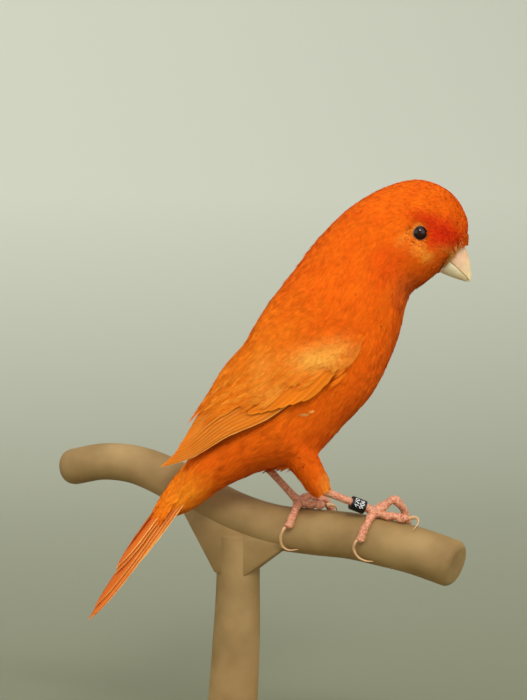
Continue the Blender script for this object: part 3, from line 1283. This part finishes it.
class CANARY_OT_bill(bpy.types.Operator):
    """Builds the two halves of the bill"""

    bl_idname = "canary.bill"
    bl_label = "Bill"

    def execute(self, context):
        c = context.scene.canary_bare
        material = self.horn()
        for name, rows, root in (("upper", BILL_UPPER, c.bill_root), ("lower", BILL_LOWER, c.bill_under)):
            shape, reach = self.half(rows, name == "lower")
            tint = mix(np.array(root), np.array(c.bill_tip), ease(0.15, 0.9, reach)[:, None])
            add_piece(f"bill_horn_{name}", shape, material, "horn", (f"bill_{name}",), tint=tint)
        return {"FINISHED"}

    def horn(self):
        """Smooth horn: the points' own tint in faint uneven patches."""
        material, tree, principled = new_material(
            "bill_horn", Roughness=0.34, Subsurface_Weight=0.12, Subsurface_Scale=0.001
        )
        if tree is None:
            return material
        mottle = place_group(tree, mottle_group(), Scale=420.0, Detail=5.0, Relief=0.25)
        value = node(tree, "ShaderNodeMapRange", Value=mottle.outputs["Mask"], To_Min=0.86, To_Max=1.05)
        finish(tree, principled, scaled_tint(tree, value), mottle.outputs["Normal"])
        return material

    def half(self, rows, under):
        """One half of the bill, with how far along it each point lies: arches between two edges, whose rise is the
        sine of the way round to the power 1.15. The edges meet in a line that droops near the face, and the ridge
        is pinched a little."""
        steps = 44
        row = along(rows, np.linspace(0, len(rows) - 1, steps))[:, None]
        turn = np.linspace(0, np.pi, 33)[None]
        top, bottom, half = row[..., 1], row[..., 2], row[..., 3]
        crest, edge = (bottom, top) if under else (top, bottom)
        rise = np.sin(turn) ** 1.15
        up = edge + (crest - edge) * rise
        side = half * np.cos(turn) * (1 - 0.06 * np.sin(2 * turn) ** 2)
        reach = row[..., 0] * np.ones_like(turn)
        closing = np.stack([reach[:, 0], edge[:, 0], np.zeros(steps)], -1)[:, None]
        ring = np.concatenate([np.stack([reach, up, side], -1), closing], 1)
        axis, upward, root = bill_frame()
        rings = root + axis * (ring[..., :1] + BILL_FORWARD) + upward * ring[..., 1:2] + LEFT * ring[..., 2:3]
        return loft(rings), np.concatenate([ring[..., 0].ravel() / rows[-1][0], [0, 1]])


def bar_frame(place):
    """Centre, direction ahead, direction across and direction up of the bar at places along its rows."""

    def at(s):
        """The centre line in three dimensions."""
        row = along(BAR_ROWS, s)
        return np.stack([row[..., 0], BAR_YAW * row[..., 0], row[..., 1]], -1)

    ahead = unit(at(place + 0.01) - at(place - 0.01))
    far = unit(np.cross([0.0, 0.0, 1.0], ahead))
    return at(place), ahead, far, np.cross(ahead, far), along(BAR_ROWS, place)[..., 2]


def on_bar(places):
    """Points given by x of the bar's centre line, degrees round it from the top, height above it, and the
    direction that stands out from the bar there."""
    table = np.linspace(0, len(BAR_ROWS) - 1, 2401)
    x, degrees, height = np.moveaxis(np.asarray(places, float), -1, 0)
    centre, _, far, up, radius = bar_frame(np.interp(x, along(BAR_ROWS, table)[:, 0], table))
    turn = np.radians(degrees)
    out = up * np.cos(turn)[..., None] + far * np.sin(turn)[..., None]
    return centre + out * (radius + height)[..., None], out


def ankle(leg):
    """Where the shank ends, over the foot's middle."""
    return on_bar(leg["foot"])[0] + [0, 0, 0.5]


def way(leg, places, steps):
    """A smooth way of a toe or claw, with the direction away from the bar all along it."""
    places = np.array(places, float)
    places[:, 0] += leg["foot"][0]
    points, out = on_bar(places)
    t = np.linspace(0, len(places) - 1, steps)
    return along(points, t), unit(along(out, t))


class CANARY_OT_legs(bpy.types.Operator):
    """Builds shanks, toes and claws"""

    bl_idname = "canary.legs"
    bl_label = "Legs and feet"

    def execute(self, context):
        c = context.scene.canary_bare
        scaly = self.scaly(c)
        horn = grained_material(
            "claw_horn", c.claw, tuple(np.array(c.claw) * 1.3), 500.0, 0.1, Roughness=0.35, Subsurface_Weight=0.1,
            Subsurface_Scale=0.0008,
        )
        for name, leg in LEGS.items():
            add_piece(f"shank_{name}", loft(self.shank(leg)), scaly, "leg_skin", (f"leg_{name}",))
            toes = [loft(self.toe(leg, places, radii)) for places, radii, _ in leg["toes"]]
            add_piece(f"toes_{name}", merged(*toes), scaly, "leg_skin", (f"foot_{name}",))
            claws = [loft(self.claw(leg, places)) for _, _, places in leg["toes"]]
            add_piece(f"claws_{name}", merged(*claws), horn, "horn", tuple(f"claw_{name}_{n}" for n in range(1, 5)))
        return {"FINISHED"}

    def scaly(self, c):
        """Leg skin: small raised cells with pale edges over flesh pink."""
        material, tree, principled = new_material(
            "leg_scales", Roughness=0.42, Subsurface_Weight=0.15, Subsurface_Scale=0.001
        )
        if tree is None:
            return material
        cells = node(tree, "ShaderNodeTexVoronoi", Vector=object_place(tree), Scale=1500.0).outputs["Distance"]
        edge = node(tree, "ShaderNodeMapRange", Value=cells, From_Min=0.25, From_Max=0.6)
        mottle = place_group(tree, mottle_group(), Scale=300.0, Detail=4.0, Relief=0.1)
        dark = tuple(np.array(c.leg) * [0.8, 0.62, 0.55])
        ground = mix_colours(tree, mottle.outputs["Mask"], dark, c.leg)
        share = math_node(tree, "MULTIPLY", edge.outputs[0], 0.55)
        bump = node(tree, "ShaderNodeBump", Height=cells, Strength=0.9, Distance=0.00025)
        finish(tree, principled, mix_colours(tree, share, ground, c.scale), bump.outputs[0])
        return material

    def shank(self, leg):
        """The shank, from heel to ankle. Plates in front overlap like a falling saw tooth of the way along."""
        plates = 9
        t = np.linspace(0.0, 0.97, 120)[:, None]
        path = mix(np.array(leg["heel"]), ankle(leg), t)
        angle = full_turn(32)
        front = ease(-0.2, 0.5, np.sin(angle))[None]
        plate = 1 - (t * plates) % 1
        radii = read(SHANK_RADII, t * 5) * (1 + 0.07 * (plate - 0.5) * front) * (1 - 0.1 * np.abs(np.cos(angle)))
        return tube(path, radii, up=(0.4, 0.0, 1.0))

    def toe(self, leg, places, radii):
        """A toe: its radii times 1 + plates along its upper side, a falling saw tooth + three soft pads beneath,
        a squared sine + lumps, a bent sine. A quarter circle rounds its end."""
        steps, plate_length = 72, 0.95
        path, out = way(leg, places, steps)
        t = np.linspace(0, 1, steps)[:, None]
        radius = read(radii, t * (len(radii) - 1))
        radius = radius * np.sqrt(np.clip(1 - np.clip((t - 0.9) / 0.1, 0, 1) ** 2, 0.02, 1))
        angle = full_turn(24)
        above, below = ease(-0.1, 0.6, np.sin(angle)), ease(-0.1, 0.6, -np.sin(angle))
        length = np.linalg.norm(np.diff(path, axis=0), axis=1).sum()
        plate = 1 - (t * length / plate_length) % 1
        pads = np.sin(np.pi * t * 3) ** 2
        lumps = np.sin(23 * t + 2 * np.sin(2 * angle + 5 * t))
        swell = 1.04 + 0.16 * (plate - 0.5) * above + 0.34 * (pads - 0.4) * below + 0.075 * lumps
        return tube(path, radius * swell, up=out)

    def claw(self, leg, places):
        """A claw: a curved cone, deeper than wide, that shrinks as what is left of it to the power 0.6."""
        steps = 40
        path, out = way(leg, places, steps)
        radius = CLAW_RADIUS * np.linspace(1, 0, steps)[:, None] ** 0.6 + 0.04
        return tube(path, radius * (1 - 0.22 * np.abs(np.cos(full_turn(20)))), up=out)


class CANARY_OT_band(bpy.types.Operator):
    """Builds the black leg band and its plain figures"""

    bl_idname = "canary.band"
    bl_label = "Leg band"

    figures: StringProperty(name="Figures", description="Two rows of plain figures", default="470\n906")

    def execute(self, context):
        c = context.scene.canary_bare
        leg = LEGS["right"]
        heel, end = np.array(leg["heel"]), ankle(leg)
        axis = unit(end - heel)
        centre = mix(heel, end, BAND["along"]) - [0, 0, BAND["drop"]]
        up = unit(np.array([0, 0, 1]) - axis[2] * axis)
        across = np.cross(axis, up)
        inner, outer, half, edge = BAND["inner"], BAND["outer"], BAND["length"] / 2, BAND["edge"]
        profile = np.array([
            [inner, -half + edge], [inner + edge, -half], [outer - edge, -half], [outer, -half + edge],
            [outer, half - edge], [outer - edge, half], [inner + edge, half], [inner, half - edge],
        ])
        spoke = spokes(full_turn(64), across, up)
        shape = closed_ring(centre + profile[None, :, :1] * spoke[:, None] + profile[None, :, 1:] * axis)
        black = grained_material(
            "black_anodised", c.band, tuple(np.array(c.band) * 1.6), 800.0, 0.1, Roughness=0.32, Metallic=0.4
        )
        ring = add_piece("leg_band_ring", shape, black, "band", ("leg_band",))
        ring.data.shade_flat()
        self.write(c, centre, axis, up, across, outer)
        return {"FINISHED"}

    def write(self, c, centre, axis, up, across, outer):
        """Lays flat figures on the ring: a point's x becomes an angle round it, x over the radius, and its y a
        distance along it."""
        text = bpy.data.curves.new("figures", "FONT")
        text.body = self.figures
        text.size, text.extrude, text.offset = 1.75, 0.0, 0.012
        text.align_x, text.align_y, text.space_line = "CENTER", "CENTER", 0.85
        holder = bpy.data.objects.new("figures", text)
        bpy.context.scene.collection.objects.link(holder)
        bpy.context.view_layer.update()
        mesh = bpy.data.meshes.new_from_object(holder.evaluated_get(bpy.context.evaluated_depsgraph_get()))
        bpy.data.objects.remove(holder)
        level = np.zeros(len(mesh.vertices) * 3)
        mesh.vertices.foreach_get("co", level)
        level = level.reshape(-1, 3)
        towards = unit(np.array([0, -1, 0.45]))
        facing = np.arctan2(towards @ up, towards @ across)
        spoke = spokes(facing + level[:, 0] / outer, across, up)
        points = centre + spoke * (outer + BAND["ink"]) - axis * level[:, 1:2]
        mesh.vertices.foreach_set("co", (points * MM).ravel())
        mesh.update()
        white = new_material("white_figures", Roughness=0.5, Base_Color=(*c.figures, 1))[0]
        mesh.materials.clear()
        mesh.materials.append(white)
        piece = bpy.data.objects.new("leg_band_figures", mesh)
        bpy.context.scene.collection.objects.link(piece)
        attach(piece, "root")


class CANARY_OT_perch(bpy.types.Operator):
    """Builds the printed bar, post with web, and base"""

    bl_idname = "canary.perch"
    bl_label = "Perch"

    def execute(self, context):
        p = context.scene.canary_perch
        plastic = self.plastic(p)
        add_piece("printed_bar", loft(self.bar()), plastic, "printed_plastic", ("perch_bar",))
        place = np.linspace(0, len(POST_RADII) - 1, 60)
        x, z = along(POST_CENTRES, place).T
        path = np.stack([x, np.zeros(len(place)), z], -1)
        post = loft(tube(path, read(POST_RADII, place)[:, None] * np.ones(64), up=LEFT))
        add_piece("printed_post", merged(post, self.web()), plastic, "printed_plastic", ("stand_post",))
        add_piece("printed_base", loft(self.base()), plastic, "printed_plastic", ("stand_base",))
        return {"FINISHED"}

    def bar(self):
        """Round sections along the bar's rows, with quarter circles of the end's own radius at both ends. Towards
        the front end the sections slant, by a share of the distance to the far side."""
        last = len(BAR_ROWS) - 1
        place = np.concatenate([np.zeros(10), np.linspace(0.9, last - 0.15, 150), np.full(8, last)])
        centre, ahead, far, up, radius = bar_frame(place)
        inset, shift = np.zeros(len(place)), np.zeros(len(place))
        for part, size, sign in ((slice(0, 10), BAR_ENDS[0], 1), (slice(-8, None), BAR_ENDS[1], -1)):
            count = len(place[part])
            turn = np.linspace(0, np.pi / 2 * (count - 1) / count, count)[::sign]
            inset[part], shift[part] = size * (1 - np.sin(turn)), sign * size * (1 - np.cos(turn))
        angle = full_turn(72)
        spoke = spokes(angle[None], up[:, None], far[:, None])
        size = (radius - inset)[:, None, None]
        slant = (BAR_END_SLANT * ease(last - 1.0, last, place))[:, None, None]
        slant = slant * np.sin(angle)[None, :, None] * size
        return (centre + ahead * shift[:, None])[:, None] + spoke * size + ahead[:, None] * slant

    def web(self):
        """The web plate: its outline on both faces, drawn in a little at the edges."""
        outline = np.array(WEB_OUTLINE)
        middle = outline.mean(0)
        half = WEB_THICKNESS / 2
        level = np.array([-half, -half + WEB_EDGE, half - WEB_EDGE, half])
        x, z = np.moveaxis(middle + (outline - middle) * np.array([0.965, 1.0, 1.0, 0.965])[:, None, None], -1, 0)
        points, faces = loft(np.stack([x, np.broadcast_to(level[:, None], x.shape), z], -1))
        turn = np.arctan(BAR_YAW)
        c, s = np.cos(turn), np.sin(turn)
        return points @ np.array([[c, s, 0], [-s, c, 0], [0, 0, 1]]), faces

    def base(self):
        """A disc with a small bevel beneath and a quarter circle round its upper edge."""
        turn = np.linspace(0, np.pi / 2, 8)
        radius = BASE_RADIUS - BASE_EDGE + BASE_EDGE * np.cos(turn)
        radius = np.concatenate([[BASE_RADIUS - BASE_BEVEL, BASE_RADIUS], radius])[:, None]
        height = np.concatenate([[0.0, BASE_BEVEL], BASE_HEIGHT - BASE_EDGE + BASE_EDGE * np.sin(turn)])[:, None]
        angle = full_turn(128)
        return np.stack(np.broadcast_arrays(radius * np.cos(angle), radius * np.sin(angle), height), -1)

    def plastic(self, p):
        """Printed plastic: level layer lines, faint soiling and small pits."""
        material, tree, principled = new_material("printed_layers", Roughness=0.62, Specular_IOR_Level=0.35)
        if tree is None:
            return material
        place = object_place(tree)
        mottle = place_group(tree, mottle_group(), Scale=90.0, Detail=6.0, Relief=0.15)
        height = node(tree, "ShaderNodeSeparateXYZ", Vector=place).outputs[2]
        layers = math_node(tree, "SINE", math_node(tree, "MULTIPLY", height, 2 * np.pi / p.layer))
        pits = node(tree, "ShaderNodeTexVoronoi", Vector=place, Scale=320.0).outputs["Distance"]
        pit = node(tree, "ShaderNodeMapRange", Value=pits, From_Min=0.0, From_Max=0.12)
        relief = math_node(tree, "ADD", math_node(tree, "MULTIPLY", layers, 0.35), pit.outputs[0])
        under = mottle.outputs["Normal"]
        bump = node(tree, "ShaderNodeBump", Height=relief, Strength=0.35, Distance=0.00012, Normal=under)
        base = mix_colours(tree, mottle.outputs["Mask"], p.soiled, p.plastic)
        finish(tree, principled, base, bump.outputs[0])
        return material


class CANARY_OT_stage(bpy.types.Operator):
    """Sets the backdrop, the lights and the camera"""

    bl_idname = "canary.stage"
    bl_label = "Stage"

    def execute(self, context):
        s = context.scene.canary_stage
        self.backdrop(context, s)
        self.light("key", (0.3, -0.5, 0.8), (0.0, 0.0, 0.1), 0.9, s.key)
        self.light("fill", (-0.9, -0.6, 0.35), (0.0, 0.0, 0.1), 1.2, s.fill)
        self.light("backdrop_light", (-0.5, 0.4, 1.5), (-0.2, 1.3, 0.4), 0.8, s.key * 3.35)
        self.light("front_fill", (0.8, -0.7, 0.2), (0.0, 0.0, 0.12), 1.0, s.fill * 0.75)
        self.light("catchlight", (0.15, -0.66, 0.62), (0.05, 0.0, 0.12), 0.2, s.key * 1.05)
        world = bpy.data.worlds.new("studio")
        world.use_nodes = True
        world.node_tree.nodes["Background"].inputs[0].default_value = (0.86, 0.9, 0.84, 1)
        world.node_tree.nodes["Background"].inputs[1].default_value = 0.6
        context.scene.world = world
        context.scene.view_settings.view_transform = "Standard"
        self.camera(context)
        return {"FINISHED"}

    def backdrop(self, context, s):
        """Paper, in metres: a level floor, a quarter circle up and a wall. Its colour pales with height, behind
        the stand, before it and to its sides, whichever is the most."""
        bend, start = 0.9, 0.5
        turn = np.linspace(0, np.pi / 2, 24)[1:]
        depth = np.concatenate([[-7.0, -2.0, start], start + bend * np.sin(turn), [start + bend]])
        rise = np.concatenate([[0.0, 0.0, 0.0], bend * (1 - np.cos(turn)), [3.2]])
        across = np.linspace(-7.0, 7.0, 15)
        points = flat(np.stack(np.broadcast_arrays(across[None], depth[:, None], rise[:, None]), -1))
        quads = grid_quads(len(depth), len(across), wrap_rows=False, wrap_columns=False)
        mesh = bpy.data.meshes.new("backdrop")
        mesh.from_pydata(points.tolist(), [], quads.tolist())
        mesh.shade_smooth()
        material, tree, principled = new_material("backdrop_paper", Roughness=0.9, Specular_IOR_Level=0.1)
        parts = node(tree, "ShaderNodeSeparateXYZ", Vector=object_place(tree)).outputs
        behind = math_node(tree, "ADD", parts[1], math_node(tree, "MULTIPLY", parts[2], 2.0))
        before = math_node(tree, "MULTIPLY", math_node(tree, "ADD", parts[1], 0.15), -1.3)
        beside = math_node(tree, "SUBTRACT", math_node(tree, "ABSOLUTE", parts[0]), 0.5)
        distance = math_node(tree, "MAXIMUM", behind, math_node(tree, "MAXIMUM", before, beside))
        share = node(tree, "ShaderNodeMapRange", Value=distance, From_Min=-0.1, From_Max=1.5)
        tree.links.new(mix_colours(tree, share.outputs[0], s.lower, s.upper), principled.inputs["Base Color"])
        mesh.materials.append(material)
        backdrop = bpy.data.objects.new("backdrop", mesh)
        context.scene.collection.objects.link(backdrop)

    def light(self, name, place, target, size, power):
        """A square area light at a place, turned to its target."""
        lamp = bpy.data.lights.new(name, "AREA")
        lamp.energy, lamp.size = power, size
        holder = bpy.data.objects.new(name, lamp)
        holder.location = place
        holder.rotation_euler = (Vector(target) - Vector(place)).to_track_quat("-Z", "Y").to_euler()
        bpy.context.scene.collection.objects.link(holder)

    def camera(self, context):
        """The view from the bird's right, a little from behind and above."""
        azimuth, elevation, distance = np.radians(-4.0), np.radians(2.0), 0.48
        target = np.array([6.6, MIDLINE, 113.0]) * MM
        level = np.array([np.sin(azimuth), -np.cos(azimuth), 0.0])
        back = level * np.cos(elevation) + [0.0, 0.0, np.sin(elevation)]
        lens = bpy.data.cameras.new("camera")
        lens.lens, lens.sensor_width, lens.clip_start = 91.43, 36.0, 0.01
        camera = bpy.data.objects.new("camera", lens)
        camera.location = target + back * distance
        camera.rotation_euler = Vector(-back).to_track_quat("-Z", "Y").to_euler()
        context.scene.collection.objects.link(camera)
        context.scene.camera = camera


BUILDERS = (
    CANARY_OT_skin, CANARY_OT_coat, CANARY_OT_wings, CANARY_OT_tail, CANARY_OT_eyes, CANARY_OT_bill,
    CANARY_OT_legs, CANARY_OT_band, CANARY_OT_perch, CANARY_OT_stage,
)
SETTINGS = {
    "canary_plumage": CanaryPlumage,
    "canary_bare": CanaryBareParts,
    "canary_perch": CanaryPerch,
    "canary_stage": CanaryStage,
}


class CANARY_PT_panel(bpy.types.Panel):
    """Lists the canary's builders"""

    bl_idname = "CANARY_PT_panel"
    bl_label = "Canary"
    bl_space_type = "VIEW_3D"
    bl_region_type = "UI"
    bl_category = "Canary"

    def draw(self, context):
        for builder in BUILDERS:
            self.layout.operator(builder.bl_idname, text=builder.bl_label)


def register():
    """Registers the settings, the builders and the panel."""
    for group in SETTINGS.values():
        bpy.utils.register_class(group)
    for name, group in SETTINGS.items():
        setattr(bpy.types.Scene, name, PointerProperty(type=group))
    for builder in BUILDERS:
        bpy.utils.register_class(builder)
    bpy.utils.register_class(CANARY_PT_panel)


def unregister():
    """Takes all of it back, in reverse."""
    bpy.utils.unregister_class(CANARY_PT_panel)
    for builder in reversed(BUILDERS):
        bpy.utils.unregister_class(builder)
    for name, group in SETTINGS.items():
        delattr(bpy.types.Scene, name)
        bpy.utils.unregister_class(group)


def main():
    """Builds every piece and the stage in order."""
    register()
    for builder in BUILDERS:
        area, name = builder.bl_idname.split(".")
        getattr(getattr(bpy.ops, area), name)()


if __name__ == "__main__":
    main()
